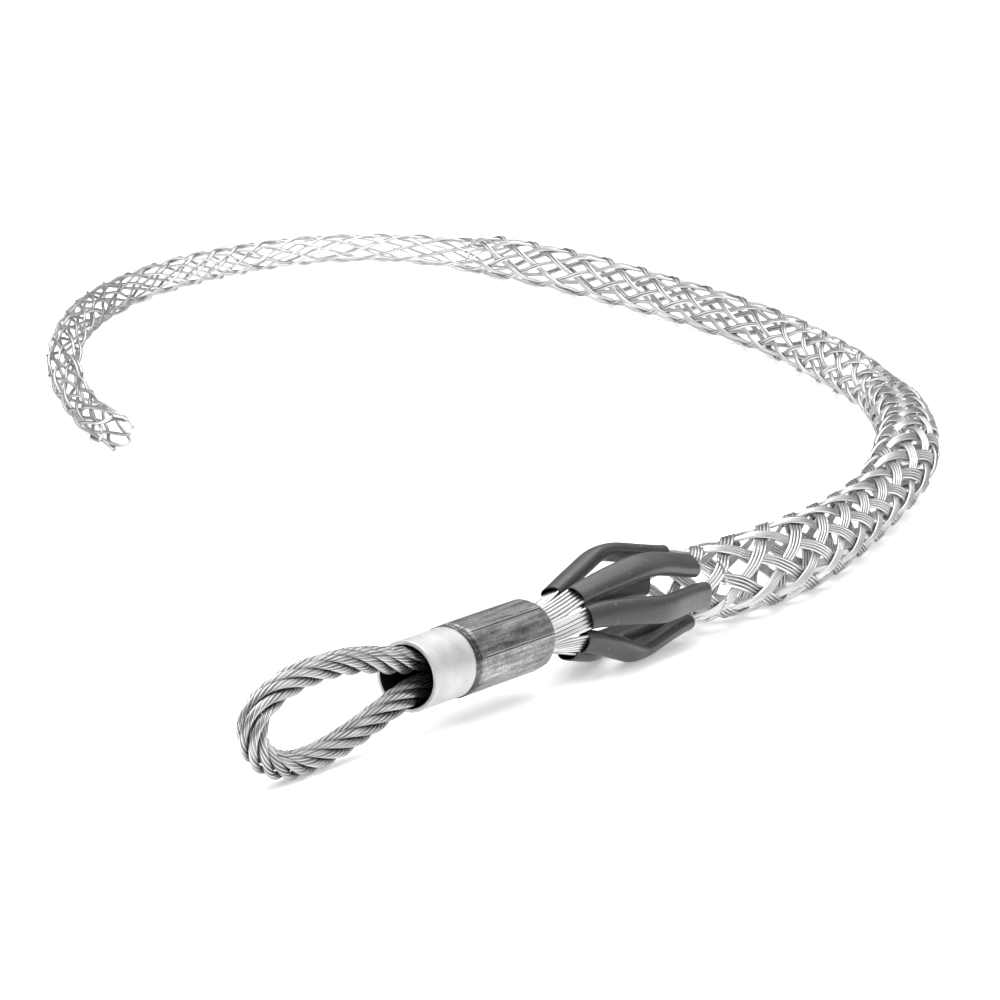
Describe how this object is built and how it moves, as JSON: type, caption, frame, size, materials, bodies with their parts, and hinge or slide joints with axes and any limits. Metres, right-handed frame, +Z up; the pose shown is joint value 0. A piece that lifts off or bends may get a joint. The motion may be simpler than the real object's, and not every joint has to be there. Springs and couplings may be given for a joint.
{
  "type": "cable pulling grip",
  "caption": "Woven steel wire stocking that grips the end of a cable, with hose-covered wire bundles, a crimped ferrule and a wire rope pulling eye",
  "frame": {"origin": "centre of the bounding box at floor level, the stocking and the eye lying on the floor", "axes": "+Z up, the ferrule's axis parallel to Y with the pulling eye towards -Y, X across"},
  "size_m": [0.6688, 0.9164, 0.0409],
  "materials": {
    "galvanised_wire": "drawn galvanised wire, bright with soft grey patches",
    "rope_steel": "greased grey wire rope, satin",
    "dark_steel": "dark mill scale rubbed bright on the press ridges",
    "aluminium": "turned aluminium, satin with fine scratches",
    "hose_rubber": "smooth dark hose with a soft sheen"
  },
  "bodies": {
    "root": {"eye_strand_1": "rope_steel", "eye_strand_2": "rope_steel", "eye_strand_3": "rope_steel", "eye_strand_4": "rope_steel", "eye_strand_5": "rope_steel", "eye_strand_6": "rope_steel", "eye_core": "rope_steel", "eye_sleeve": "aluminium", "crimp_ferrule": "dark_steel", "wire_bundle_1": "galvanised_wire", "wire_bundle_2": "galvanised_wire", "wire_bundle_3": "galvanised_wire", "wire_bundle_4": "galvanised_wire", "wire_bundle_5": "galvanised_wire", "wire_bundle_6": "galvanised_wire", "hose_1": "hose_rubber", "hose_2": "hose_rubber", "hose_3": "hose_rubber", "hose_4": "hose_rubber", "hose_5": "hose_rubber", "hose_6": "hose_rubber", "stocking_lead": "galvanised_wire", "stocking_middle": "galvanised_wire", "stocking_tail": "galvanised_wire"}
  },
  "joints": []
}
